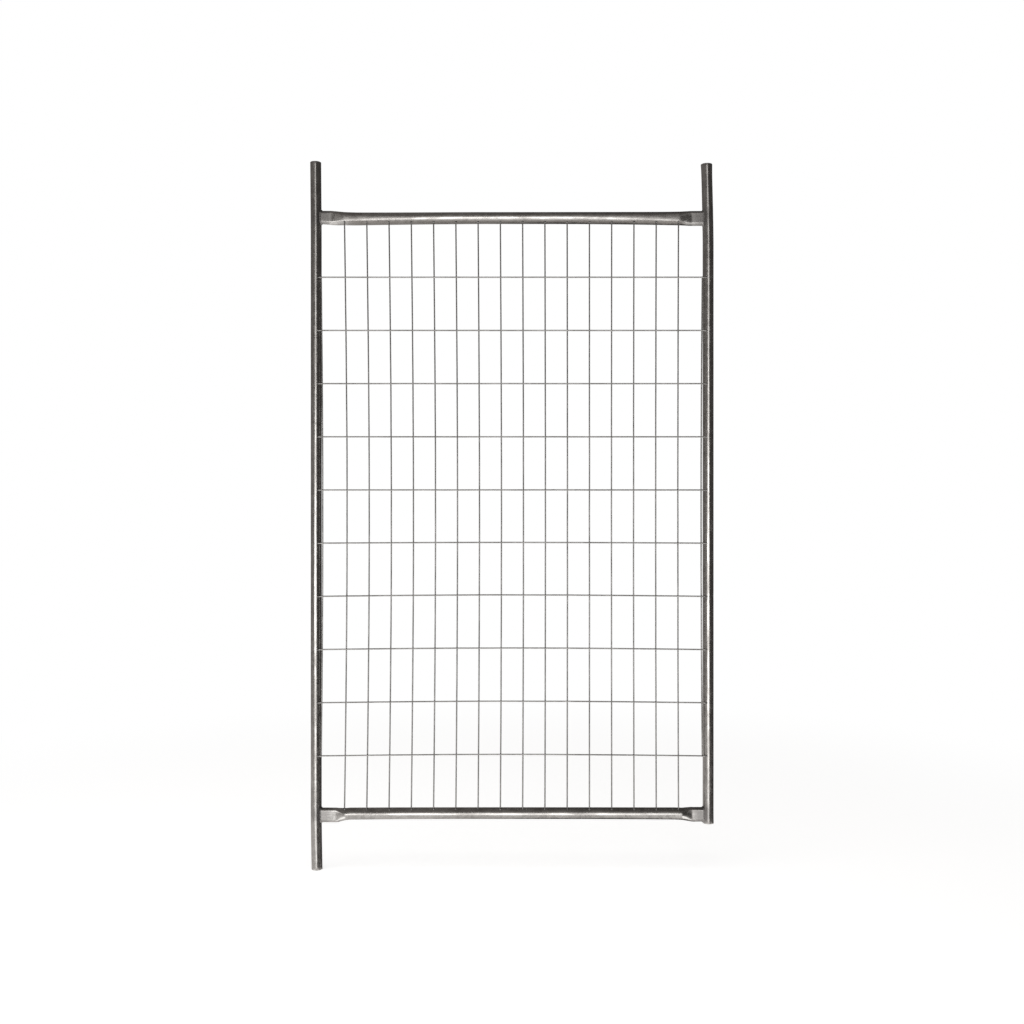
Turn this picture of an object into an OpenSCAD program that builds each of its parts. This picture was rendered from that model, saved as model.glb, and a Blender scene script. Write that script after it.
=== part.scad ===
// Pedestrian gate leaf in galvanised tube and welded wire.
// Two posts and two rails with pressed ends carry a mesh of upright line wires and level cross wires.
// X runs from the hinge post to the latch post, Y from front to back and Z up.
// The origin is the centre of the hinge post's lower end.

/* [Posts] */
// Outside diameter of the post tube
post_od = 32; // [28:0.1:48.3]
// Wall thickness of the post tube
post_wall = 2; // [1.5:0.1:3.2]
// Height of the hinge post
hinge_post_h = 2100; // [1700:10:2600]
// Distance between the axes of the two posts
post_pitch = 1165; // [900:5:1500]
// Height of the bottom rail's axis above the hinge post's lower end
hinge_foot_len = 167; // [60:1:300]
// Distance from the top rail's axis up to the hinge post's upper end
hinge_head_len = 165; // [60:1:300]
// Distance from the bottom rail's axis down to the latch post's lower end
latch_foot_len = 30; // [30:1:150]
// Distance from the top rail's axis up to the latch post's upper end
latch_head_len = 159; // [60:1:300]

/* [Rails] */
// Outside diameter of the rail tube
rail_od = 33.7; // [27:0.1:45]
// Wall thickness of the rail tube
rail_wall = 2; // [1.5:0.1:3.2]
// Thickness of the rail's pressed ends
pressed_t = 16; // [10:0.5:20]
// Length of a pressed end, from the post to the taper
pressed_len = 34; // [15:1:60]
// Length over which a pressed end grows round again
taper_len = 32; // [15:1:60]
// Leg of the weld between a rail and a post
weld_leg = 3; // [2:0.5:5]

/* [Mesh] */
// Diameter of the mesh wires
wire_d = 4; // [3:0.1:5]
// Distance between line wires, which stand upright
line_pitch = 66; // [50:0.5:120]
// Distance between cross wires, which lie level
cross_pitch = 157.5; // [120:0.5:300]
// Distance from the tubes' axes forward to the line wires' axes
mesh_forward = 9; // [4:0.5:12]
// Distance of the mesh's middle from the frame's middle, towards the hinge post
mesh_to_hinge = 2; // [0:0.5:2]
// Distance of the mesh's middle below the middle between the rails
mesh_drop = 3.5; // [0:0.5:10]
// Length of the edge wires past the outer cross wires
edge_overhang = 3; // [2:0.5:20]
// Reach of a tack weld out from the wire, at the tube
tack_leg = 1.5; // [0.5:0.1:2]
// Length of a tack weld along the wire, from the tube
tack_len = 5; // [4:0.5:8]

/* [Hidden] */
// Thickness of the slices that a taper is stretched between
slice = 0.01;
// Facets round a taper
taper_facets = 32;
// Facets round a true cylinder
round_facets = 64;
// Spare length on every cutting solid
cut_spare = 5;
// Part of a post's diameter that a rail's weld can cover
weld_wrap = 0.7;

bottom_rail_z = hinge_foot_len;
top_rail_z = hinge_post_h - hinge_head_len;
latch_post_z = bottom_rail_z - latch_foot_len;
latch_post_h = top_rail_z + latch_head_len - latch_post_z;

// The pressed end keeps the tube's girth, so its height follows from its thickness
pressed_h = PI * (rail_od - pressed_t) / 2 + pressed_t;
// Thickness over a rail's weld, which stops where the post's wall turns away from it
weld_t = min(pressed_t + 2 * weld_leg, weld_wrap * post_od);
// Distance from a post's axis to where the rail is round
round_from = post_od / 2 + pressed_len + taper_len;

// Whole meshes that fit between the posts and between the rails
edge_margin = post_od / 2 + wire_d;
line_bays = floor((post_pitch - 2 * edge_margin) / line_pitch);
line_wires = line_bays - 1;
cross_wires = floor((top_rail_z - bottom_rail_z) / cross_pitch) - 1;

mesh_x = post_pitch / 2 - mesh_to_hinge;
mesh_z = (bottom_rail_z + top_rail_z) / 2 - mesh_drop;
mesh_half_w = line_bays * line_pitch / 2;
mesh_half_h = (cross_wires - 1) * cross_pitch / 2;
line_y = -mesh_forward;
cross_y = line_y - wire_d;
// Height above a rail's axis at which a line wire's axis meets the tube
line_root = sqrt(pow(rail_od / 2, 2) - pow(line_y, 2));
// Distance from a post's axis at which a cross wire's axis meets the tube
cross_root = sqrt(pow(post_od / 2, 2) - pow(cross_y, 2));

function numbered(stem, i) = str(stem, i < 10 ? "_0" : "_", i);
function line_x(i) = mesh_x - mesh_half_w + i * line_pitch;
function cross_z(i) = mesh_z - mesh_half_h + (i - 1) * cross_pitch;

$fn = round_facets;

// Turns a profile or a solid that stands along Z so that it lies along X, with its own X across the frame
module along_x() {
    rotate([90, 0, 90])
        children();
}

module tube(od, wall, length) {
    difference() {
        cylinder(d = od, h = length);
        translate([0, 0, -cut_spare])
            cylinder(d = od - 2 * wall, h = length + 2 * cut_spare);
    }
}

// The outer body of a post's tube, through the whole frame, which everything that meets the post is cut to
module post_cut(x) {
    translate([x, 0, -cut_spare])
        cylinder(d = post_od, h = hinge_post_h + latch_head_len);
}

// The outer body of a rail's tube, from post to post
module rail_cut(z) {
    translate([0, 0, z])
        along_x()
            cylinder(d = rail_od, h = post_pitch);
}

// Section of a pressed tube end: flat sides and round edges
module pressed_profile(height, thickness) {
    flat_side = height - thickness;
    square([thickness, flat_side], center = true);
    for (way = [-1, 1])
        translate([0, way * flat_side / 2])
            circle(d = thickness);
}

// One half of a rail's body from the post's axis to the frame's middle, smaller all round by inset
module rail_half(inset) {
    flat_end = post_od / 2 + pressed_len;
    linear_extrude(flat_end)
        pressed_profile(pressed_h - 2 * inset, pressed_t - 2 * inset);
    hull() {
        translate([0, 0, flat_end])
            linear_extrude(slice)
                pressed_profile(pressed_h - 2 * inset, pressed_t - 2 * inset, $fn = taper_facets);
        translate([0, 0, round_from - slice])
            cylinder(d = rail_od - 2 * inset, h = slice, $fn = taper_facets);
    }
    translate([0, 0, round_from])
        cylinder(d = rail_od - 2 * inset, h = post_pitch / 2 - round_from);
}

module rail_body(inset) {
    along_x()
        rail_half(inset);
    translate([post_pitch, 0, 0])
        mirror([1, 0, 0])
            along_x()
                rail_half(inset);
}

module rail(z) {
    color("#a19f9b")
        difference() {
            translate([0, 0, z])
                difference() {
                    rail_body(0);
                    rail_body(rail_wall);
                }
            post_cut(0);
            post_cut(post_pitch);
        }
}

module hinge_post() {
    color("#8f8c88")
        tube(post_od, post_wall, hinge_post_h);
}

module latch_post() {
    color("#8f8c88")
        translate([post_pitch, 0, latch_post_z])
            tube(post_od, post_wall, latch_post_h);
}

module top_rail() {
    rail(top_rail_z);
}

module bottom_rail() {
    rail(bottom_rail_z);
}

// Weld run round a pressed end that leaves a post towards +X
module weld_ring() {
    intersection() {
        along_x()
            linear_extrude(2 * post_od)
                difference() {
                    pressed_profile(pressed_h + 2 * weld_leg, weld_t);
                    pressed_profile(pressed_h, pressed_t);
                }
        // The half turn puts the seams of the collar's two walls away from the weld
        rotate(180)
            translate([0, 0, -pressed_h])
                tube(post_od + 2 * weld_leg, weld_leg, 2 * pressed_h);
    }
}

module hinge_weld(z) {
    color("#7b7976")
        translate([0, 0, z])
            weld_ring();
}

module latch_weld(z) {
    color("#7b7976")
        translate([post_pitch, 0, z])
            mirror([1, 0, 0])
                weld_ring();
}

module line_wire_body(i) {
    translate([line_x(i), line_y, bottom_rail_z])
        cylinder(d = wire_d, h = top_rail_z - bottom_rail_z);
}

module line_wire(i) {
    color("#9a9a98")
        difference() {
            line_wire_body(i);
            rail_cut(bottom_rail_z);
            rail_cut(top_rail_z);
        }
}

module edge_wire(i) {
    color("#9a9a98")
        translate([line_x(i), line_y, cross_z(1) - edge_overhang])
            cylinder(d = wire_d, h = 2 * (mesh_half_h + edge_overhang));
}

module cross_wire_body(i) {
    translate([0, cross_y, cross_z(i)])
        along_x()
            cylinder(d = wire_d, h = post_pitch);
}

module cross_wire(i) {
    color("#9a9a98")
        difference() {
            cross_wire_body(i);
            post_cut(0);
            post_cut(post_pitch);
        }
}

// One tack weld round a wire that stands on a tube and runs towards +Z
module tack() {
    translate([0, 0, -tack_leg])
        cylinder(d1 = wire_d + 2 * tack_leg, d2 = wire_d + tack_leg, h = tack_leg + tack_len);
}

// Tack welds round the ends of the line wires, on the side of a rail that the turn brings towards the mesh
module line_tacks(rail_z, turn) {
    color("#7b7976")
        difference() {
            for (i = [1 : line_wires])
                translate([line_x(i), line_y, rail_z])
                    rotate([turn, 0, 0])
                        translate([0, 0, line_root])
                            tack();
            rail_cut(rail_z);
            for (i = [1 : line_wires])
                line_wire_body(i);
        }
}

// Tack welds round the ends of the cross wires, on the side of a post that the turn brings towards the mesh
module cross_tacks(post_x, turn) {
    color("#7b7976")
        difference() {
            for (i = [1 : cross_wires])
                translate([post_x, cross_y, cross_z(i)])
                    rotate([0, turn, 0])
                        translate([0, 0, cross_root])
                            tack();
            post_cut(post_x);
            for (i = [1 : cross_wires])
                cross_wire_body(i);
        }
}

hinge_post();
latch_post();
top_rail();
bottom_rail();
hinge_weld(top_rail_z);  // top_hinge_weld
latch_weld(top_rail_z);  // top_latch_weld
hinge_weld(bottom_rail_z);  // bottom_hinge_weld
latch_weld(bottom_rail_z);  // bottom_latch_weld
edge_wire(0);  // edge_wire_hinge
edge_wire(line_bays);  // edge_wire_latch
for (i = [1 : line_wires])
    line_wire(i);
for (i = [1 : cross_wires])
    cross_wire(i);
line_tacks(top_rail_z, 180);  // top_wire_tacks
line_tacks(bottom_rail_z, 0);  // bottom_wire_tacks
cross_tacks(0, 90);  // hinge_wire_tacks
cross_tacks(post_pitch, -90);  // latch_wire_tacks
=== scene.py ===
# Pedestrian gate leaf: galvanised posts and rails with a welded wire mesh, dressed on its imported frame
import math

import bpy
import numpy as np
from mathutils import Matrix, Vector, noise


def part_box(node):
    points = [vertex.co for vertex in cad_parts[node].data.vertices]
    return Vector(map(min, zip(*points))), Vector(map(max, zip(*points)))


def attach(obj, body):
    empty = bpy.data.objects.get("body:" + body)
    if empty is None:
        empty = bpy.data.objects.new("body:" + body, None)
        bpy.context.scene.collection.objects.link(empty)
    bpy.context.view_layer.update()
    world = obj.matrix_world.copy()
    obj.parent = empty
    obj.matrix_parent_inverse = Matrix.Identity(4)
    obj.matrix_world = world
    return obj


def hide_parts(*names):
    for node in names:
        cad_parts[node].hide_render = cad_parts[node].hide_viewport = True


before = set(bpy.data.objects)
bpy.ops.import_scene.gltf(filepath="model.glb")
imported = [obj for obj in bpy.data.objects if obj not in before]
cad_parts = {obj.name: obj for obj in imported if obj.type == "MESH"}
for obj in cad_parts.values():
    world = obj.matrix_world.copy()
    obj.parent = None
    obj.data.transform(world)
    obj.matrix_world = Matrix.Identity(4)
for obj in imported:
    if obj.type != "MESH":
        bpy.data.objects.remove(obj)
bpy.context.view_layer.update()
print("frame loaded with", len(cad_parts), "nodes")

mm = 0.001
fullTurn = 2 * math.pi
hingeLow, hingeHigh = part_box("hinge_post")
latchLow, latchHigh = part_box("latch_post")
postRadius = (hingeHigh.x - hingeLow.x) / 2
hingeX = (hingeLow.x + hingeHigh.x) / 2
latchX = (latchLow.x + latchHigh.x) / 2


def boxCentre(node):
    low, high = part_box(node)
    return (low + high) / 2


topZ = boxCentre("top_rail").z
bottomZ = boxCentre("bottom_rail").z
lineWires = sorted(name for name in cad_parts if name.startswith("line_wire_"))
crossWires = sorted(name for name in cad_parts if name.startswith("cross_wire_"))


# Small helpers for node trees and pieces

def addNode(tree, kind, inputs=None, **settings):
    node = tree.nodes.new(kind)
    for name, value in settings.items():
        setattr(node, name, value)
    for key, value in (inputs or {}).items():
        if isinstance(value, bpy.types.NodeSocket):
            tree.links.new(value, node.inputs[key])
        else:
            node.inputs[key].default_value = value
    return node


def doMath(tree, operation, *values, clamp=False):
    node = addNode(tree, "ShaderNodeMath", dict(enumerate(values)), operation=operation, use_clamp=clamp)
    return node.outputs[0]


def vectorMath(tree, operation, first, second=None, scale=None):
    inputs = {0: first}
    if second is not None:
        inputs[1] = second
    if scale is not None:
        inputs["Scale"] = scale
    node = addNode(tree, "ShaderNodeVectorMath", inputs, operation=operation)
    return node.outputs["Value" if operation == "DISTANCE" else "Vector"]


def remap(tree, value, fromMin, fromMax, toMin=0.0, toMax=1.0, smooth=True):
    ends = {"From Min": fromMin, "From Max": fromMax, "To Min": toMin, "To Max": toMax}
    node = addNode(tree, "ShaderNodeMapRange", {"Value": value, **ends},
                   interpolation_type="SMOOTHSTEP" if smooth else "LINEAR")
    return node.outputs["Result"]


def noiseTexture(tree, place, scale, detail, **more):
    node = addNode(tree, "ShaderNodeTexNoise", {"Vector": place, "Scale": scale, "Detail": detail, **more})
    return node.outputs


def blendColour(tree, factor, first, second, mode="MIX"):
    node = addNode(tree, "ShaderNodeMix", data_type="RGBA", blend_type=mode)
    for index, value in ((0, factor), (6, first), (7, second)):
        if isinstance(value, bpy.types.NodeSocket):
            tree.links.new(value, node.inputs[index])
        else:
            node.inputs[index].default_value = value
    return node.outputs[2]


sharpFrom = math.radians(38)     # edges that turn more than this stay sharp


def placePiece(name, mesh, material, slotName, *nodes):
    for polygon in mesh.polygons:
        polygon.use_smooth = True
    mesh.set_sharp_from_angle(angle=sharpFrom)
    if not mesh.materials:
        mesh.materials.append(material)
    piece = bpy.data.objects.new(name, mesh)
    bpy.context.scene.collection.objects.link(piece)
    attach(piece, "root")
    if nodes:
        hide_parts(*nodes)
    return piece


def gridFaces(rings, around, closedAlong=False):
    faces = []
    for i in range(rings if closedAlong else rings - 1):
        following = (i + 1) % rings
        for j in range(around):
            beside = (j + 1) % around
            faces.append((i * around + j, i * around + beside,
                          following * around + beside, following * around + j))
    return faces


# Zinc finishes

weldSpots = [Vector((x + turn * postRadius, 0, z))
             for x, turn in ((hingeX, 1), (latchX, -1)) for z in (topZ, bottomZ)]

tubeFinish = {
    "bright": (0.66, 0.65, 0.635, 1),   # fresh zinc
    "dull": (0.47, 0.455, 0.44, 1),     # zinc gone grey in the weather
    # the stain tone below also paints the shade along the top rail's underside
    "stain": (0.235, 0.215, 0.20, 1),   # dirt that rain leaves
    "speck": (0.72, 0.71, 0.69, 1),     # white rust
    "paint": (0.31, 0.30, 0.295, 1),    # cold zinc paint over a weld
    "cover": {"stain": 0.45, "speck": 0.4, "paint": 0.8},
    "spangle": 0.011,                   # size of a zinc crystal, m
    "spangleTone": 0.22,
    "borderWaves": 2.4,                 # how finely a crystal's border wanders, waves to a crystal
    "drawLine": 0.0011,                 # width of a draw line, m
    "drawLength": 90,                   # its length in widths
    "drawTone": 0.16,
    "patchWaves": 34.0,                 # waves per metre of the weathering, the stains and the specks
    "stainWaves": 95.0,
    "speckWaves": 620.0,
    "patchAlong": 0.3,                  # weathering and stains are drawn out along the piece
    "worn": (0.36, 0.66),               # noise levels between which each of them comes in
    "stained": (0.59, 0.77),
    "specked": (0.63, 0.71),
    "roughness": (0.15, 0.29),          # of bright and of dull zinc
    "addedRough": {"line": 0.1, "stain": 0.14, "crystal": 0.06},
    "paintRough": 0.25,
    "paintReach": (0.040, 0.018),       # paint fades between these distances from a weld, m
    "paintRagged": 0.03,                # how far the edge of the paint wanders, m
    "lessMetal": {"paint": 0.04, "stain": 0.25},
    "relief": {"crystal": 0.2, "line": 0.5, "speck": 0.5, "patch": 1.2},
    "bump": 0.055,
    "bumpDepth": 0.0006,
}
# Painted shade along the top rail's underside: darker between two heights, and only where the tube is round
topRailFinish = dict(tubeFinish, undersideShade={
    "height": (topZ - 7.5 * mm, topZ - 12.5 * mm),
    "hingeSide": (hingeX + 78 * mm, hingeX + 115 * mm),
    "latchSide": (latchX - 64 * mm, latchX - 84 * mm),
    "cover": 0.72,
})
wireFinish = dict(tubeFinish, bright=(0.50, 0.495, 0.485, 1), dull=(0.34, 0.335, 0.325, 1),
                  spangle=0.005, spangleTone=0.12, drawLine=0.0005, roughness=(0.2, 0.32),
                  paintReach=(0.03, 0.012), bump=0.1)
beadFinish = dict(tubeFinish, bright=(0.46, 0.45, 0.44, 1), dull=(0.32, 0.31, 0.305, 1),
                  spangle=0.003, spangleTone=0.3, drawLine=0.002, roughness=(0.4, 0.56), bump=0.3)
tackFinish = dict(beadFinish, bright=(0.31, 0.305, 0.30, 1), dull=(0.22, 0.215, 0.21, 1))


def zincMaterial(name, look, lengthwise, seed):
    material = bpy.data.materials.new(name)
    material.use_nodes = True
    tree = material.node_tree
    shader = tree.nodes["Principled BSDF"]
    place = addNode(tree, "ShaderNodeTexCoord").outputs["Object"]
    moved = addNode(tree, "ShaderNodeMapping", {"Vector": place, "Location": (seed, seed * 0.7, -seed)})
    spot = moved.outputs["Vector"]

    def drawnOut(across, along):
        stretch = [across, across, across]
        stretch["xyz".index(lengthwise)] = along
        return addNode(tree, "ShaderNodeMapping", {"Vector": spot, "Scale": stretch}).outputs["Vector"]

    # draw lines run along the tube or wire
    fine = 1 / look["drawLine"]
    line = noiseTexture(tree, drawnOut(fine, fine / look["drawLength"]), 1.0, 3.0, Roughness=0.6)["Fac"]
    # patches of weathering, longer than they are wide
    along = drawnOut(1.0, look["patchAlong"])
    patch = noiseTexture(tree, along, look["patchWaves"], 5.0, Roughness=0.62, Distortion=0.5)["Fac"]
    worn = remap(tree, patch, *look["worn"])
    # zinc crystals, their borders pushed about a little
    size = look["spangle"]
    push = noiseTexture(tree, spot, look["borderWaves"] / size, 1.0)["Color"]
    pushed = vectorMath(tree, "ADD", spot, vectorMath(tree, "MULTIPLY", push, (size / 2,) * 3))
    crystals = addNode(tree, "ShaderNodeTexVoronoi", {"Vector": pushed, "Scale": 1 / size})
    crystal = addNode(tree, "ShaderNodeSeparateColor", {"Color": crystals.outputs["Color"]}).outputs["Red"]
    # rain stains and specks of white rust
    stains = noiseTexture(tree, along, look["stainWaves"], 6.0, Roughness=0.7)["Fac"]
    stained = remap(tree, stains, *look["stained"])
    specked = remap(tree, noiseTexture(tree, spot, look["speckWaves"], 2.0)["Fac"], *look["specked"])

    # paint round the four rail welds
    near = None
    for weld in weldSpots:
        away = vectorMath(tree, "DISTANCE", place, weld)
        near = away if near is None else doMath(tree, "MINIMUM", near, away)
    ragged = doMath(tree, "MULTIPLY_ADD", stains, look["paintRagged"], near)
    outer, inner = look["paintReach"]
    middle = look["paintRagged"] / 2
    painted = remap(tree, ragged, outer + middle, inner + middle)

    tone = blendColour(tree, worn, look["bright"], look["dull"])
    lift = doMath(tree, "MULTIPLY_ADD", crystal, look["spangleTone"], 1 - look["spangleTone"] / 2)
    drawn = doMath(tree, "MULTIPLY_ADD", line, look["drawTone"] * 2, 1 - look["drawTone"])
    tone = vectorMath(tree, "SCALE", tone, scale=doMath(tree, "MULTIPLY", lift, drawn))
    for amount, layer in ((stained, "stain"), (specked, "speck"), (painted, "paint")):
        tone = blendColour(tree, doMath(tree, "MULTIPLY", amount, look["cover"][layer]), tone, look[layer])
    # painted shade: the top rail's underside is darkened towards the stain tone
    if "undersideShade" in look:
        axes = addNode(tree, "ShaderNodeSeparateXYZ", {0: place}).outputs
        undersideShade = doMath(tree, "MULTIPLY", remap(tree, axes["Z"], *look["undersideShade"]["height"]),
                       look["undersideShade"]["cover"])
        for side in ("hingeSide", "latchSide"):
            undersideShade = doMath(tree, "MULTIPLY", undersideShade, remap(tree, axes["X"], *look["undersideShade"][side]))
        tone = blendColour(tree, undersideShade, tone, look["stain"])
    tree.links.new(tone, shader.inputs["Base Color"])

    smooth, rough = look["roughness"]
    added = look["addedRough"]
    sheen = remap(tree, worn, 0, 1, smooth, rough, smooth=False)
    sheen = doMath(tree, "SUBTRACT", sheen, added["line"] / 2)
    for amount, layer in ((line, "line"), (stained, "stain"), (crystal, "crystal")):
        sheen = doMath(tree, "MULTIPLY_ADD", amount, added[layer], sheen)
    sheen = remap(tree, painted, 0, 1, sheen, look["paintRough"], smooth=False)
    tree.links.new(sheen, shader.inputs["Roughness"])

    metal = 1.0
    for amount, layer in ((painted, "paint"), (stained, "stain")):
        loss = doMath(tree, "MULTIPLY", amount, look["lessMetal"][layer])
        metal = doMath(tree, "SUBTRACT", metal, loss, clamp=True)
    tree.links.new(metal, shader.inputs["Metallic"])

    height = doMath(tree, "MULTIPLY", crystal, look["relief"]["crystal"])
    for amount, layer in ((line, "line"), (specked, "speck"), (patch, "patch")):
        height = doMath(tree, "MULTIPLY_ADD", amount, look["relief"][layer], height)
    bump = addNode(tree, "ShaderNodeBump",
                   {"Height": height, "Strength": look["bump"], "Distance": look["bumpDepth"]})
    tree.links.new(bump.outputs["Normal"], shader.inputs["Normal"])
    return material


postZinc = zincMaterial("postZinc", tubeFinish, "z", 0.0)
railZinc = zincMaterial("railZinc", tubeFinish, "x", 3.1)
topRailZinc = zincMaterial("topRailZinc", topRailFinish, "x", 3.1)
uprightZinc = zincMaterial("uprightWireZinc", wireFinish, "z", 5.3)
levelZinc = zincMaterial("levelWireZinc", wireFinish, "x", 7.9)
weldZinc = zincMaterial("weldBeadZinc", beadFinish, "x", 9.7)
tackZinc = zincMaterial("tackZinc", tackFinish, "z", 11.3)
print("finishes made")


# Posts: drawn tube with deburred ends, a seam bead inside, a few knocks and ends that got bent in use

post = {
    "wall": 2 * mm,
    "rim": 0.5 * mm,              # rounding of the sawn ends
    "around": 72,
    "step": 9 * mm,               # length of one band of faces outside
    "innerStep": 4,               # bands outside to one band inside
    "waviness": 0.07 * mm,
    "waves": (2, 9),              # how quickly it changes, round the tube and along it
    "seamHeight": 0.55 * mm,
    "seamWidth": 0.07,            # radians
    "seamAngle": 2.3,             # where the tube's own seam lies, radians from +X
    "knocks": 5,
    "knockPlaces": (0.04, 0.97),  # shares of the length between which they lie
    "knockDepth": 0.45 * mm,
    "knockDepths": (0.4, 1),      # shares of that depth
    "knockReach": 13 * mm,
    "knockFalloff": 3,
    "bendBelow": 75 * mm,         # the upper bend starts this far below the top rail's axis
    "bendCurve": {"upper": 1.3, "lower": 1.5},
    "flareLength": 45 * mm,
}
# Sideways shift of each free end towards +X, and how much the upper end is opened up
bends = {
    "hingePost": {"upper": -1.6 * mm, "lower": 2.5 * mm, "flare": 0.1 * mm},
    "latchPost": {"upper": -4.8 * mm, "lower": 0.4 * mm, "flare": 0.9 * mm},
}


def bendAt(name, z, low, high):
    bend, curve = bends[name], post["bendCurve"]
    above = max(z - topZ + post["bendBelow"], 0) / (high.z - topZ + post["bendBelow"])
    below = max(bottomZ - z, 0) / (bottomZ - low.z)
    return bend["upper"] * above ** curve["upper"] + bend["lower"] * below ** curve["lower"]


def turnBetween(angle, other):
    return abs((angle - other + math.pi) % fullTurn - math.pi)


def tubePost(name, low, high, seed):
    centreX, length = (low.x + high.x) / 2, high.z - low.z
    inner, rim = postRadius - post["wall"], post["rim"]
    straight = length - 2 * rim
    profile = []                  # radius, height, is it the outside
    bands = int(length / post["step"])
    for k in range(bands + 1):
        profile.append((postRadius, low.z + rim + straight * k / bands, True))
    corner = [(math.cos(a), math.sin(a)) for a in (math.pi / 6, math.pi / 3, math.pi / 2)]
    for c, s in corner:
        profile.append((postRadius - rim + rim * c, high.z - rim + rim * s, False))
    for c, s in reversed(corner):
        profile.append((inner + rim - rim * c, high.z - rim + rim * s, False))
    innerBands = bands // post["innerStep"]
    for k in range(innerBands + 1):
        profile.append((inner, high.z - rim - straight * k / innerBands, False))
    for c, s in corner:
        profile.append((inner + rim - rim * c, low.z + rim - rim * s, False))
    for c, s in reversed(corner):
        profile.append((postRadius - rim + rim * c, low.z + rim - rim * s, False))

    chance = np.random.default_rng(seed)
    knocks = [(low.z + length * chance.uniform(*post["knockPlaces"]), chance.uniform(0, fullTurn),
               post["knockDepth"] * chance.uniform(*post["knockDepths"])) for _ in range(post["knocks"])]
    around = post["around"]
    roundWaves, longWaves = post["waves"]
    verts = []
    for radius, z, outside in profile:
        shift = bendAt(name, z, low, high)
        opened = bends[name]["flare"] * max(1 - (high.z - z) / post["flareLength"], 0) ** 2
        for j in range(around):
            angle = fullTurn * j / around
            c, s = math.cos(angle), math.sin(angle)
            r = radius + opened
            if outside:
                ripple = noise.noise(Vector((roundWaves * c, roundWaves * s + seed, z * longWaves)))
                r += post["waviness"] * ripple
                for knockZ, knockAngle, depth in knocks:
                    gap = turnBetween(angle, knockAngle) * postRadius
                    spread = ((z - knockZ) ** 2 + gap ** 2) / post["knockReach"] ** 2
                    r -= depth * math.exp(-post["knockFalloff"] * spread)
            elif radius == inner:
                off = turnBetween(angle, post["seamAngle"]) / post["seamWidth"]
                r -= post["seamHeight"] * math.exp(-off ** 2)
            verts.append((centreX + shift + r * c, r * s, z))
    mesh = bpy.data.meshes.new(name)
    mesh.from_pydata(verts, [], gridFaces(len(profile), around, closedAlong=True))
    return mesh


placePiece("hingePost", tubePost("hingePost", hingeLow, hingeHigh, 3), postZinc, "post_tube", "hinge_post")
placePiece("latchPost", tubePost("latchPost", latchLow, latchHigh, 8), postZinc, "post_tube", "latch_post")
print("posts made")


# Rails: round tube whose ends are pressed flat and cut to sit on the posts

rail = {
    "od": 33.7 * mm,
    "around": 72,
    "firstBand": 1.5 * mm,        # from the end, which fits the post, to the first whole ring
    "fine": 2 * mm,               # band length near the ends
    "coarse": 12 * mm,            # band length in the middle
    "fineReach": 150 * mm,
    "crease": 7 * mm,             # how far the press rounds each crease
    "bite": 0.5 * mm,             # how far the ends go into the post's wall
    "waviness": 0.06 * mm,
    "waves": (2, 11),             # how quickly it changes, round the tube and along it
}
# Each pressed end: thickness, end of the flat, end of the ramp, what is left of the squash there,
# how slowly the rest dies out, how much the lower edge is trimmed at the post,
# and how far the tube sits below its axis at distances from the post's axis, both in mm
pressedEnds = {
    "topHinge": {
        "thick": 18.5 * mm, "flat": 48 * mm, "ramp": 84 * mm, "left": 0.58, "fade": 190 * mm,
        "trim": 3.2 * mm,
        "drops": [(40, 0), (65, 1.0), (90, 2.0), (120, 2.6), (250, 1.6), (320, 1.0), (480, 0)]},
    "topLatch": {
        "thick": 16 * mm, "flat": 50 * mm, "ramp": 84 * mm, "left": 0.66, "fade": 190 * mm,
        "trim": 0.0,
        "drops": [(0, 0.8), (60, 1.2), (120, 1.2), (250, 0.4), (400, 0)]},
    "bottomHinge": {
        "thick": 17 * mm, "flat": 60 * mm, "ramp": 88 * mm, "left": 0.18, "fade": 130 * mm,
        "trim": 0.0,
        "drops": [(0, 6.0), (40, 6.2), (65, 6.4), (85, 4.0), (100, 2.5), (250, 1.5), (450, 1)]},
    "bottomLatch": {
        "thick": 17.5 * mm, "flat": 50 * mm, "ramp": 78 * mm, "left": 0.2, "fade": 130 * mm,
        "trim": 0.0,
        "drops": [(0, 4.2), (42, 4.5), (72, 3.0), (100, 1.9), (300, 1.2), (500, 1)]},
}


def squashAlong(end, distance):
    near = np.interp(distance, [0, end["flat"], end["ramp"]], [1, 1, end["left"]])
    fading = end["left"] * np.exp(-(distance - end["ramp"]) / end["fade"])
    return np.where(distance > end["ramp"], fading, near)


def pressedSection(thick, share):
    # point at a share of the girth, from the middle of the front, over the top and round
    girth, radius = math.pi * rail["od"], thick / 2
    flat = (girth - 2 * math.pi * radius) / 2
    run = (share % 1) * girth
    if run <= flat / 2:
        return -radius, run
    run -= flat / 2
    if run <= math.pi * radius:
        a = run / radius
        return -radius * math.cos(a), flat / 2 + radius * math.sin(a)
    run -= math.pi * radius
    if run <= flat:
        return radius, flat / 2 - run
    run -= flat
    if run <= math.pi * radius:
        a = run / radius
        return radius * math.cos(a), -flat / 2 - radius * math.sin(a)
    return -radius, run - math.pi * radius - flat / 2


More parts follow.
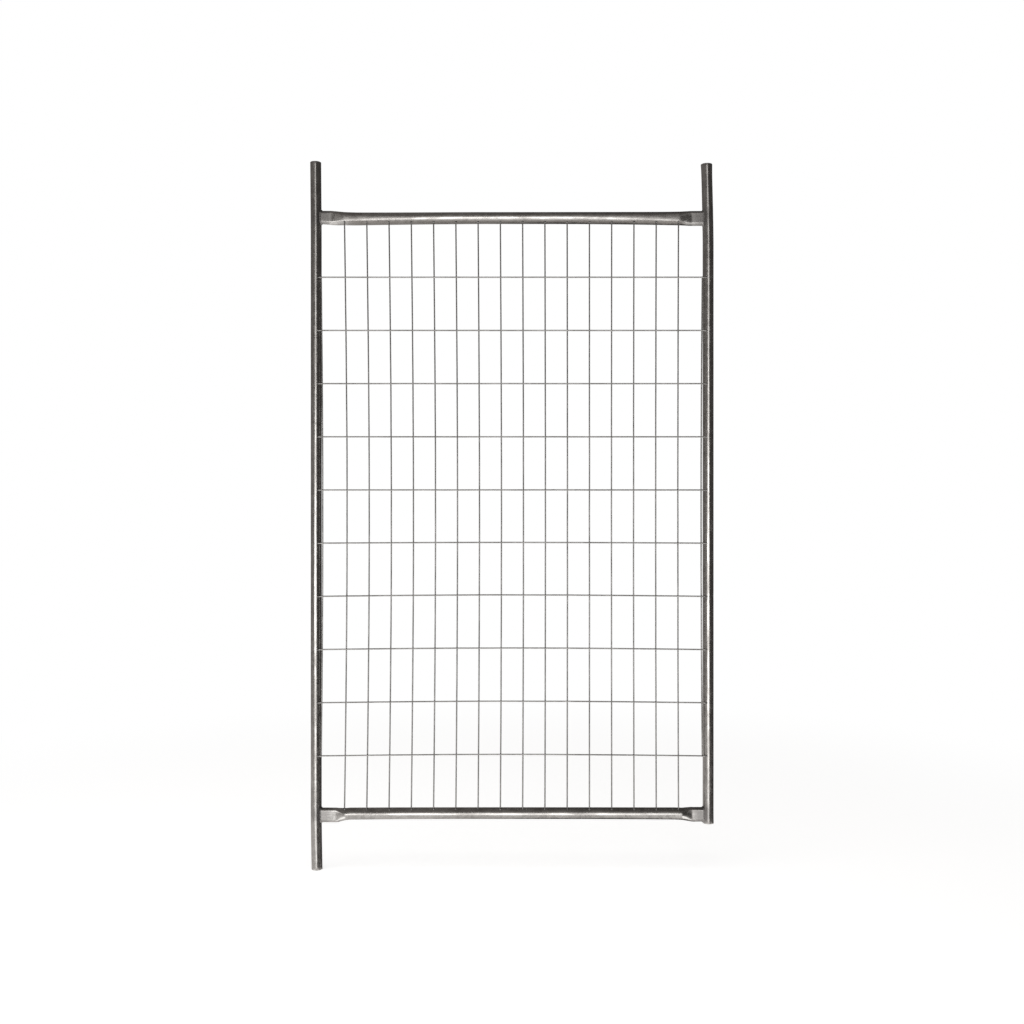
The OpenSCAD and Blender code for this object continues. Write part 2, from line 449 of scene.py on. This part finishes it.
def pressedRail(name, railZ, hingeEnd, latchEnd, seed):
    span, reach = latchX - hingeX, rail["fineReach"]
    fine = np.arange(postRadius + rail["firstBand"], reach, rail["fine"])
    middle = np.linspace(reach, span - reach, int((span - 2 * reach) / rail["coarse"]))
    stations = np.concatenate([[postRadius], fine, middle, span - fine[::-1], [span - postRadius]])
    grid = np.arange(0, span, mm)
    width = int(rail["crease"] / mm)
    window = np.hanning(width + 2)[1:-1]
    window /= window.sum()

    def eased(values):
        padded = np.concatenate([[values[0]] * width, values, [values[-1]] * width])
        return np.convolve(padded, window, mode="same")[width:-width]

    hingeSquash, latchSquash = squashAlong(hingeEnd, grid), squashAlong(latchEnd, span - grid)
    thick = rail["od"] - (rail["od"] - hingeEnd["thick"]) * eased(hingeSquash)
    thick = thick - (rail["od"] - latchEnd["thick"]) * eased(latchSquash)
    roundness = eased(1 - np.maximum(hingeSquash, latchSquash))
    fromLatch = [(span / mm - place, drop) for place, drop in reversed(latchEnd["drops"])]
    places, drops = zip(*hingeEnd["drops"], *fromLatch)
    lowered = eased(np.interp(grid, np.array(places) * mm, np.array(drops) * mm))
    around = rail["around"]
    roundWaves, longWaves = rail["waves"]
    verts = []
    for number, station in enumerate(stations):
        t, soft, lower = (np.interp(station, grid, values) for values in (thick, roundness, lowered))
        tall = t + (rail["od"] - t) * math.pi / 2
        trim = hingeEnd["trim"] * max(1 - (station - postRadius) / hingeEnd["flat"], 0)
        for j in range(around):
            y, z = pressedSection(t, j / around)
            a = fullTurn * j / around
            c, s = math.cos(a), math.sin(a)
            y, z = y + (-t / 2 * c - y) * soft, z + (tall / 2 * s - z) * soft
            if z < 0:
                z *= 1 - trim / (tall / 2)
            ripple = noise.noise(Vector((station * longWaves, roundWaves * c + seed, roundWaves * s)))
            wave = rail["waviness"] * ripple
            y, z = y * (1 + wave / (t / 2)), z * (1 + wave / (tall / 2))
            x = station
            if number in (0, len(stations) - 1):    # saddle that fits the post
                seat = math.sqrt(max(postRadius ** 2 - y ** 2, 0)) - rail["bite"]
                x = seat if number == 0 else span - seat
            verts.append((hingeX + x, y, railZ - lower + z))
    faces = [tuple(reversed(face)) for face in gridFaces(len(stations), around)]
    last = (len(stations) - 1) * around
    for start, turned in ((0, False), (last, True)):
        ring = list(range(start, start + around))
        centre = len(verts)
        verts.append(tuple(np.mean([verts[i] for i in ring], axis=0)))
        for j in range(around):
            a, b = ring[j], ring[(j + 1) % around]
            faces.append((b, a, centre) if turned else (a, b, centre))
    mesh = bpy.data.meshes.new(name)
    mesh.from_pydata(verts, [], faces)
    return mesh


topMesh = pressedRail("topRail", topZ, pressedEnds["topHinge"], pressedEnds["topLatch"], 1)
bottomMesh = pressedRail("bottomRail", bottomZ, pressedEnds["bottomHinge"], pressedEnds["bottomLatch"], 6)
placePiece("topRail", topMesh, topRailZinc, "rail_tube", "top_rail")
placePiece("bottomRail", bottomMesh, railZinc, "rail_tube", "bottom_rail")
print("rails made")


# Node trees that lay wires, weld beads and drops of weld metal

lumpWaves = {"wire": 7.0, "drop": 420.0, "bead": 130.0}    # waves per metre of their unevenness
pointsPerRipple = 5.0


def newTree(name, sockets):
    tree = bpy.data.node_groups.new(name, "GeometryNodeTree")
    tree.interface.new_socket("Geometry", in_out="INPUT", socket_type="NodeSocketGeometry")
    for label, kind in sockets:
        tree.interface.new_socket(label, in_out="INPUT", socket_type="NodeSocket" + kind)
    tree.interface.new_socket("Geometry", in_out="OUTPUT", socket_type="NodeSocketGeometry")
    return tree, addNode(tree, "NodeGroupInput").outputs


def closeTree(tree, shape, given):
    real = addNode(tree, "GeometryNodeRealizeInstances", {"Geometry": shape})
    painted = addNode(tree, "GeometryNodeSetMaterial",
                      {"Geometry": real.outputs[0], "Material": given["Material"]})
    addNode(tree, "NodeGroupOutput", {"Geometry": painted.outputs[0]})


def growPiece(name, guide, tree, values, slotName, *nodes):
    carrier = bpy.data.objects.new(name + "Guide", guide)
    bpy.context.scene.collection.objects.link(carrier)
    modifier = carrier.modifiers.new("grow", "NODES")
    modifier.node_group = tree
    for item in tree.interface.items_tree:
        if item.in_out == "INPUT" and item.name in values:
            modifier[item.identifier] = values[item.name]
    depsgraph = bpy.context.evaluated_depsgraph_get()
    mesh = bpy.data.meshes.new_from_object(carrier.evaluated_get(depsgraph), depsgraph=depsgraph)
    carrier.modifiers.remove(modifier)
    bpy.data.objects.remove(carrier)
    mesh.name = name
    return placePiece(name, mesh, values["Material"], slotName, *nodes)


def copiesOnPoints(tree, points, shape, **more):
    placed = addNode(tree, "GeometryNodeInstanceOnPoints", {"Points": points, "Instance": shape, **more})
    return addNode(tree, "GeometryNodeRealizeInstances", {"Geometry": placed.outputs[0]}).outputs[0]


def storeNumber(tree, shape, name, value):
    node = addNode(tree, "GeometryNodeStoreNamedAttribute", {"Geometry": shape, "Name": name, "Value": value},
                   data_type="FLOAT", domain="POINT")
    return node.outputs[0]


def readNumber(tree, name):
    return addNode(tree, "GeometryNodeInputNamedAttribute", {"Name": name}, data_type="FLOAT").outputs[0]


def roundTube(tree, path, sides, radius):
    section = addNode(tree, "GeometryNodeCurvePrimitiveCircle", {"Resolution": sides, "Radius": radius})
    tube = addNode(tree, "GeometryNodeCurveToMesh",
                   {"Curve": path, "Profile Curve": section.outputs[0], "Fill Caps": True})
    return tube.outputs[0]


def moveBy(tree, shape, offset):
    return addNode(tree, "GeometryNodeSetPosition", {"Geometry": shape, "Offset": offset}).outputs[0]


def lumpHeight(tree, waves, detail, amount):
    spot = addNode(tree, "GeometryNodeInputPosition").outputs[0]
    lumps = noiseTexture(tree, spot, waves, detail)["Fac"]
    return doMath(tree, "MULTIPLY", doMath(tree, "SUBTRACT", lumps, 0.5), amount)


def pushedOut(tree, shape, rise):
    normal = addNode(tree, "GeometryNodeInputNormal").outputs[0]
    return moveBy(tree, shape, vectorMath(tree, "SCALE", normal, scale=rise))


def wireRowTree():
    tree, given = newTree("wireRow", [
        ("Count", "Int"), ("First", "Vector"), ("Step", "Vector"), ("Run", "Vector"),
        ("Bow Direction", "Vector"), ("Bow Low", "Float"), ("Bow High", "Float"),
        ("Bow From", "Float"), ("Bow To", "Float"), ("Index Offset", "Int"), ("Diameter", "Float"),
        ("Segments", "Int"), ("Sides", "Int"), ("Unevenness", "Float"), ("Material", "Material")])
    starts = addNode(tree, "GeometryNodeMeshLine", {"Count": given["Count"], "Start Location": given["First"],
                                                    "Offset": given["Step"]}, mode="OFFSET")
    number = addNode(tree, "GeometryNodeInputIndex").outputs[0]
    counted = storeNumber(tree, starts.outputs[0], "wireNumber",
                          doMath(tree, "ADD", number, given["Index Offset"]))
    straight = addNode(tree, "GeometryNodeCurvePrimitiveLine", {"End": given["Run"]}, mode="POINTS")
    fine = addNode(tree, "GeometryNodeResampleCurve",
                   {"Curve": straight.outputs[0], "Count": given["Segments"]})
    wires = copiesOnPoints(tree, counted, fine.outputs[0])
    # each wire bows in an arch whose height depends on its number
    bow = remap(tree, readNumber(tree, "wireNumber"), given["Bow From"], given["Bow To"],
                given["Bow Low"], given["Bow High"])
    factor = addNode(tree, "GeometryNodeSplineParameter").outputs["Factor"]
    arch = doMath(tree, "SINE", doMath(tree, "MULTIPLY", factor, math.pi))
    bowed = vectorMath(tree, "SCALE", given["Bow Direction"], scale=doMath(tree, "MULTIPLY", bow, arch))
    # and wanders a little on its way
    spot = addNode(tree, "GeometryNodeInputPosition").outputs[0]
    shake = noiseTexture(tree, spot, lumpWaves["wire"], 1.0)["Color"]
    centred = vectorMath(tree, "SUBTRACT", shake, (0.5, 0.5, 0.5))
    shaken = vectorMath(tree, "SCALE", centred, scale=doMath(tree, "MULTIPLY", given["Unevenness"], arch))
    path = moveBy(tree, wires, vectorMath(tree, "ADD", bowed, shaken))
    radius = doMath(tree, "MULTIPLY", given["Diameter"], 0.5)
    closeTree(tree, roundTube(tree, path, given["Sides"], radius), given)
    return tree


def dropsTree():
    tree, given = newTree("weldDrops", [
        ("Size", "Vector"), ("Size Spread", "Float"), ("Lumpiness", "Float"), ("Detail", "Int"),
        ("Seed", "Int"), ("Material", "Material")])
    drop = addNode(tree, "GeometryNodeMeshIcoSphere", {"Radius": 1.0, "Subdivisions": given["Detail"]})
    least = doMath(tree, "SUBTRACT", 1.0, given["Size Spread"])
    most = doMath(tree, "ADD", 1.0, given["Size Spread"])
    spread = addNode(tree, "FunctionNodeRandomValue", {2: least, 3: most, "Seed": given["Seed"]},
                     data_type="FLOAT")
    size = vectorMath(tree, "SCALE", given["Size"], scale=spread.outputs[1])
    drops = copiesOnPoints(tree, given["Geometry"], drop.outputs[0], Scale=size)
    shaped = pushedOut(tree, drops, lumpHeight(tree, lumpWaves["drop"], 1.0, given["Lumpiness"]))
    closeTree(tree, shaped, given)
    return tree


def beadTree():
    tree, given = newTree("weldBead", [
        ("Radius", "Float"), ("Ripple Pitch", "Float"), ("Ripple Height", "Float"),
        ("Lumpiness", "Float"), ("Sides", "Int"), ("Material", "Material")])
    path = addNode(tree, "GeometryNodeMeshToCurve", {"Mesh": given["Geometry"]})
    spacing = doMath(tree, "DIVIDE", given["Ripple Pitch"], pointsPerRipple)
    fine = addNode(tree, "GeometryNodeResampleCurve", {"Curve": path.outputs[0], "Length": spacing},
                   mode="LENGTH")
    length = addNode(tree, "GeometryNodeSplineParameter").outputs["Length"]
    laid = roundTube(tree, storeNumber(tree, fine.outputs[0], "beadRun", length),
                     given["Sides"], given["Radius"])
    turns = doMath(tree, "DIVIDE", readNumber(tree, "beadRun"), given["Ripple Pitch"])
    ripple = doMath(tree, "SINE", doMath(tree, "MULTIPLY", turns, fullTurn))
    ripple = doMath(tree, "MULTIPLY", ripple, given["Ripple Height"])
    lumps = lumpHeight(tree, lumpWaves["bead"], 2.0, given["Lumpiness"])
    closeTree(tree, pushedOut(tree, laid, doMath(tree, "ADD", lumps, ripple)), given)
    return tree


wireRow, weldDrops, weldBead = wireRowTree(), dropsTree(), beadTree()


# Mesh of upright and level wires, which bow a little

wire = {
    "diameter": 4 * mm,
    "sides": 12,
    "segments": 41,
    "cope": 0.2,                         # part of its diameter by which a rail cuts an upright wire back
    "into": 2.2 * mm,                    # how far an upright wire goes into the rail from there
    "postInto": 0.4 * mm,                # how far a level wire goes into the post
    "sink": 0.25 * mm,                   # how far each of two crossing wires is pressed into the other
    "uprightBow": (7.7 * mm, -2 * mm),   # sideways bow beside the hinge post and beside the latch post
    "edgeShift": (-3.0 * mm, 4.5 * mm),  # the edge wires lie pushed up against the posts
    "edgeBow": (4.5 * mm, -3.5 * mm),
    "levelBow": (4.6 * mm, 0.0),         # upward bow of the lower rows and of the upper rows
    "levelBowRows": (2.6, 5.4),          # rows between which it goes from one to the other
    "unevenness": 0.9 * mm,
}
firstLine, secondLine = boxCentre(lineWires[0]), boxCentre(lineWires[1])
linePitch = secondLine.x - firstLine.x
lineCount = len(lineWires)
firstCross = boxCentre(crossWires[0])
crossPitch = boxCentre(crossWires[1]).z - firstCross.z
crossCount = len(crossWires)
lineY, crossY = firstLine.y - wire["sink"], firstCross.y + wire["sink"]
coped = wire["diameter"] * wire["cope"]
lineLow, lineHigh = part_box(lineWires[0])
lineEnds = (lineLow.z + coped - wire["into"], lineHigh.z - coped + wire["into"])
crossLow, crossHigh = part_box(crossWires[0])
crossEnds = (crossLow.x - wire["postInto"], crossHigh.x + wire["postInto"])

upright = {"Step": (linePitch, 0, 0), "Bow Direction": (1, 0, 0), "Bow Low": wire["uprightBow"][0],
           "Bow High": wire["uprightBow"][1], "Bow From": 0.0, "Bow To": float(lineCount + 1),
           "Diameter": wire["diameter"], "Segments": wire["segments"], "Sides": wire["sides"],
           "Unevenness": wire["unevenness"], "Material": uprightZinc}
level = upright | {"Step": (0, 0, crossPitch), "Bow Direction": (0, 0, 1), "Bow Low": wire["levelBow"][0],
                   "Bow High": wire["levelBow"][1], "Bow From": wire["levelBowRows"][0],
                   "Bow To": wire["levelBowRows"][1], "Material": levelZinc}
noGuide = bpy.data.meshes.new("emptyGuide")
growPiece("lineWires", noGuide, wireRow,
          upright | {"Count": lineCount, "First": (firstLine.x, lineY, lineEnds[0]),
                     "Run": (0, 0, lineEnds[1] - lineEnds[0]), "Index Offset": 1},
          "mesh_wire", *lineWires)
for side, name, node in ((0, "edgeWireHinge", "edge_wire_hinge"), (1, "edgeWireLatch", "edge_wire_latch")):
    low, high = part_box(node)
    edgeX = (low.x + high.x) / 2 + wire["edgeShift"][side]
    bow = wire["edgeBow"][side]
    growPiece(name, noGuide, wireRow,
              upright | {"Count": 1, "First": (edgeX, lineY, low.z), "Run": (0, 0, high.z - low.z),
                         "Bow Low": bow, "Bow High": bow, "Index Offset": side},
              "mesh_wire", node)
growPiece("crossWires", noGuide, wireRow,
          level | {"Count": crossCount, "First": (crossEnds[0], crossY, firstCross.z),
                   "Run": (crossEnds[1] - crossEnds[0], 0, 0), "Index Offset": 0},
          "mesh_wire", *crossWires)
print("mesh wires laid:", lineCount + 2, "upright and", crossCount, "level")


# Tack welds where the wires land on posts and rails

tack = {
    "size": (3.2 * mm, 3.0 * mm, 3.8 * mm),       # the last is along an upright wire
    "levelSize": (3.8 * mm, 3.0 * mm, 3.2 * mm),
    "offPost": 1.6 * mm,                          # from a level wire's end to the middle of its tack
    "spread": 0.14,
    "lumpiness": 2.0 * mm,
    "detail": 3,
}


def layDrops(name, points, look, size, seed, slotName, *nodes):
    spots = bpy.data.meshes.new(name + "Spots")
    spots.from_pydata(points, [], [])
    growPiece(name, spots, weldDrops,
              {"Size": size, "Size Spread": look["spread"], "Lumpiness": look["lumpiness"],
               "Detail": look["detail"], "Seed": seed, "Material": tackZinc}, slotName, *nodes)


lineXs = [firstLine.x + i * linePitch for i in range(lineCount)]
crossZs = [firstCross.z + i * crossPitch for i in range(crossCount)]
for name, z, seed, node in (("topTacks", lineEnds[1] - wire["into"], 11, "top_wire_tacks"),
                            ("bottomTacks", lineEnds[0] + wire["into"], 12, "bottom_wire_tacks")):
    layDrops(name, [(x, lineY, z) for x in lineXs], tack, tack["size"], seed, "tack_weld", node)
for name, x, seed, node in (("hingeTacks", crossEnds[0] + tack["offPost"], 13, "hinge_wire_tacks"),
                            ("latchTacks", crossEnds[1] - tack["offPost"], 14, "latch_wire_tacks")):
    layDrops(name, [(x, crossY, z) for z in crossZs], tack, tack["levelSize"], seed, "tack_weld", node)
print("tack welds made")


# Metal squeezed out where an upright wire and a level wire were welded through each other

nugget = {"size": (2.4 * mm, 2.3 * mm, 2.4 * mm), "spread": 0.1, "lumpiness": 0.8 * mm, "detail": 2}


def smoothBetween(pair, value, start, end):
    share = min(max((value - start) / (end - start), 0), 1)
    return pair[0] + (pair[1] - pair[0]) * (share * share * (3 - 2 * share))


def archAt(value, ends):
    return math.sin(math.pi * (value - ends[0]) / (ends[1] - ends[0]))


crossings = []
for row, rowZ in enumerate(crossZs):
    rise = smoothBetween(wire["levelBow"], row, *wire["levelBowRows"])
    for column, x in enumerate(lineXs):
        lean = smoothBetween(wire["uprightBow"], column + 1, 0, lineCount + 1)
        z = rowZ + rise * archAt(x, crossEnds)
        crossings.append((x + lean * archAt(z, lineEnds), (lineY + crossY) / 2, z))
layDrops("meshWelds", crossings, nugget, nugget["size"], 17, "mesh_wire")
print("mesh welds made:", len(crossings))


# Weld beads round the pressed ends of the rails

bead = {
    "radius": 2.0 * mm,
    "sides": 12,
    "out": 0.5 * mm,              # how far the bead's middle stands off the pressed end
    "ripplePitch": 2.6 * mm,
    "rippleHeight": 0.22 * mm,
    "lumpiness": 1.1 * mm,
    "points": 120,
}


def beadPath(name, postX, turn, railZ, end):
    verts = []
    for j in range(bead["points"]):
        y, z = pressedSection(end["thick"], j / bead["points"])
        away = math.hypot(y, z)
        y, z = y * (1 + bead["out"] / away), z * (1 + bead["out"] / away)
        if z < 0:
            z += end["trim"] * min(-z / end["thick"], 1)
        x = math.sqrt(max(postRadius ** 2 - y ** 2, 0)) + bead["out"]
        verts.append((postX + turn * x, y, railZ - end["drops"][0][1] * mm + z))
    mesh = bpy.data.meshes.new(name)
    count = bead["points"]
    mesh.from_pydata(verts, [(j, (j + 1) % count) for j in range(count)], [])
    return mesh


for name, postX, turn, railZ, end, node in (
        ("topHingeWeld", hingeX, 1, topZ, "topHinge", "top_hinge_weld"),
        ("topLatchWeld", latchX, -1, topZ, "topLatch", "top_latch_weld"),
        ("bottomHingeWeld", hingeX, 1, bottomZ, "bottomHinge", "bottom_hinge_weld"),
        ("bottomLatchWeld", latchX, -1, bottomZ, "bottomLatch", "bottom_latch_weld")):
    growPiece(name, beadPath(name + "Path", postX, turn, railZ, pressedEnds[end]), weldBead,
              {"Radius": bead["radius"], "Ripple Pitch": bead["ripplePitch"],
               "Ripple Height": bead["rippleHeight"], "Lumpiness": bead["lumpiness"],
               "Sides": bead["sides"], "Material": weldZinc}, "frame_weld", node)
print("rail welds made")


# Floor, light and camera

stage = {
    "floorSize": 60.0,
    "clearWithin": 1.0,           # the floor shows its own tone this near the gate, m
    "fadedBeyond": 3.0,           # and is plain white from here on
    "paint": (0.8, 0.8, 0.8, 1),
    "glow": 0.77,
    "white": (1, 1, 1, 1),
}
half = stage["floorSize"] / 2
floorMesh = bpy.data.meshes.new("floor")
floorMesh.from_pydata([(-half, -half, 0), (half, -half, 0), (half, half, 0), (-half, half, 0)],
                      [], [(0, 1, 2, 3)])
floor = bpy.data.objects.new("floor", floorMesh)
bpy.context.scene.collection.objects.link(floor)
floor.visible_glossy = False
floorPaint = bpy.data.materials.new("floorPaint")
floorPaint.use_nodes = True
tree = floorPaint.node_tree
tree.nodes.clear()
underfoot = addNode(tree, "ShaderNodeTexCoord").outputs["Object"]
away = vectorMath(tree, "DISTANCE", underfoot, ((hingeX + latchX) / 2, 0, 0))
far = remap(tree, away, stage["clearWithin"], stage["fadedBeyond"])
matt = addNode(tree, "ShaderNodeBsdfDiffuse", {"Color": stage["paint"]})
glow = addNode(tree, "ShaderNodeEmission", {"Color": stage["white"], "Strength": stage["glow"]})
near = addNode(tree, "ShaderNodeAddShader", {0: matt.outputs[0], 1: glow.outputs[0]})
white = addNode(tree, "ShaderNodeEmission", {"Color": stage["white"], "Strength": 1.0})
mixed = addNode(tree, "ShaderNodeMixShader", {0: far, 1: near.outputs[0], 2: white.outputs[0]})
addNode(tree, "ShaderNodeOutputMaterial", {"Surface": mixed.outputs[0]})
floorMesh.materials.append(floorPaint)

# What the zinc reflects: brightness against the upward part of the direction, from -1 to 1
surround = {
    "facing": (0.25, -0.2),       # the front light comes in as the direction turns from back to front
    # straight in front, seen by the rails
    "front": [(-1, 0.5), (-0.73, 0.55), (-0.5, 0.95), (-0.38, 1.3), (-0.2, 2.3), (0.03, 3.1),
              (0.1, 1.9), (0.26, 0.95), (0.42, 0.4), (0.6, 0.2), (0.85, 0.1), (1, 0.06)],
    "frontLeft": (-0.21, -0.06),  # sideways part of the direction between which it comes up
    "frontRight": (0.20, 0.09),
    # a low bright opening in front and a little to the left, the stripe on the posts
    "glint": [(-1, 0.58), (-0.31, 0.58), (-0.264, 0.68), (-0.225, 0.95), (-0.172, 1.55), (-0.118, 3.1),
              (-0.05, 3.1), (-0.01, 2.0), (0.03, 0.95), (0.06, 0.12), (0.08, 0.0)],
    "glintLeft": (-0.62, -0.38),  # angles from straight ahead, radians
    "glintRight": (0.34, 0.10),
    # pale ground everywhere but on the right
    "ground": [(-1, 0.66), (-0.3, 0.55), (-0.245, 0.56), (-0.21, 0.36), (-0.16, 0.21), (0.05, 0.2),
               (0.12, 0.16), (1, 0.13)],
    "groundRight": (0.62, 0.05),
    # sunlit ground at both sides, seen by the lower curves of the pressed ends
    "floorGlow": 1.5,
    "floorGlowHeight": (-0.34, -0.55),
    "floorGlowAside": (0.13, 0.27),
    "dark": 0.06,
    "darkTint": (1.0, 0.935, 0.885, 1),    # the dark parts are a little warmer than the light ones
    "lightTint": (1.0, 0.985, 0.968, 1),
    "tintLevels": (0.12, 1.0),
}


def levelRamp(tree, height, stops):
    # scaled so that the ramp itself stays within 0 and 1
    top = max(level for _, level in stops)
    node = addNode(tree, "ShaderNodeValToRGB", {"Fac": doMath(tree, "MULTIPLY_ADD", height, 0.5, 0.5)})
    ramp = node.color_ramp
    for _ in stops[2:]:
        ramp.elements.new(0.5)
    for element, (position, level) in zip(ramp.elements, stops):
        element.position = (position + 1) / 2
        element.color = (level / top, level / top, level / top, 1)
    return doMath(tree, "MULTIPLY", node.outputs["Color"], top)


def windowed(tree, level, value, left, right):
    opening = doMath(tree, "MULTIPLY", remap(tree, value, *left), remap(tree, value, *right))
    return doMath(tree, "MULTIPLY", level, opening)


world = bpy.data.worlds.new("surroundings")
bpy.context.scene.world = world
world.use_nodes = True
tree = world.node_tree
tree.nodes.clear()
direction = addNode(tree, "ShaderNodeTexCoord").outputs["Generated"]
axis = addNode(tree, "ShaderNodeSeparateXYZ", {0: direction}).outputs
turnAngle = doMath(tree, "ARCTAN2", axis["X"], doMath(tree, "MULTIPLY", axis["Y"], -1.0))
frontLight = windowed(tree, levelRamp(tree, axis["Z"], surround["front"]), axis["X"],
                      surround["frontLeft"], surround["frontRight"])
frontLight = doMath(tree, "MULTIPLY", frontLight, remap(tree, axis["Y"], *surround["facing"]))
glintLight = windowed(tree, levelRamp(tree, axis["Z"], surround["glint"]), turnAngle,
                      surround["glintLeft"], surround["glintRight"])
groundLight = doMath(tree, "MULTIPLY", levelRamp(tree, axis["Z"], surround["ground"]),
                     remap(tree, turnAngle, *surround["groundRight"]))
aside = remap(tree, doMath(tree, "ABSOLUTE", axis["X"]), *surround["floorGlowAside"])
sunlit = doMath(tree, "MULTIPLY", aside, remap(tree, axis["Z"], *surround["floorGlowHeight"]))
sunlit = doMath(tree, "MULTIPLY", sunlit, surround["floorGlow"])
mirrored = surround["dark"]
for light in (frontLight, glintLight, groundLight, sunlit):
    mirrored = doMath(tree, "MAXIMUM", light, mirrored)
tint = blendColour(tree, remap(tree, mirrored, *surround["tintLevels"]),
                   surround["darkTint"], surround["lightTint"])
tinted = blendColour(tree, 1.0, tint, mirrored, mode="MULTIPLY")
seen = addNode(tree, "ShaderNodeLightPath").outputs["Is Camera Ray"]
shown = blendColour(tree, seen, tinted, stage["white"])
sky = addNode(tree, "ShaderNodeBackground", {"Color": shown, "Strength": 1.0})
addNode(tree, "ShaderNodeOutputWorld", {"Surface": sky.outputs[0]})

# name, size, position, aim, power
softBoxes = [
    ("overhead", 3.5, (0.2, -1.6, 4.2), (0.6, 0.0, 0.4), 46),
    ("fillLeft", 2.4, (-3.2, -2.0, 2.6), (0.6, 0.0, 0.9), 18),
]
for name, size, position, aim, power in softBoxes:
    lamp = bpy.data.lights.new(name, "AREA")
    lamp.shape, lamp.size, lamp.energy = "SQUARE", size, power
    box = bpy.data.objects.new(name, lamp)
    box.location = position
    box.rotation_euler = (Vector(aim) - Vector(position)).to_track_quat("-Z", "Y").to_euler()
    box.visible_glossy = False
    bpy.context.scene.collection.objects.link(box)

shot = {
    "aside": -0.5 * mm,           # of the gate's middle
    "height": 1.0612,
    "distance": 3.2,
    "viewWidth": 3.0443,          # what the view takes in at the gate, m
    "sensor": 36.0,
    "reach": 200,
}
lens = bpy.data.cameras.new("camera")
lens.sensor_width = shot["sensor"]
lens.lens = shot["sensor"] * shot["distance"] / shot["viewWidth"]
lens.clip_end = shot["reach"]
camera = bpy.data.objects.new("camera", lens)
camera.location = ((hingeX + latchX) / 2 + shot["aside"], -shot["distance"], shot["height"])
camera.rotation_euler = (math.pi / 2, 0, 0)
bpy.context.scene.collection.objects.link(camera)
bpy.context.scene.camera = camera
bpy.context.scene.view_settings.view_transform = "Standard"
print("stage set")
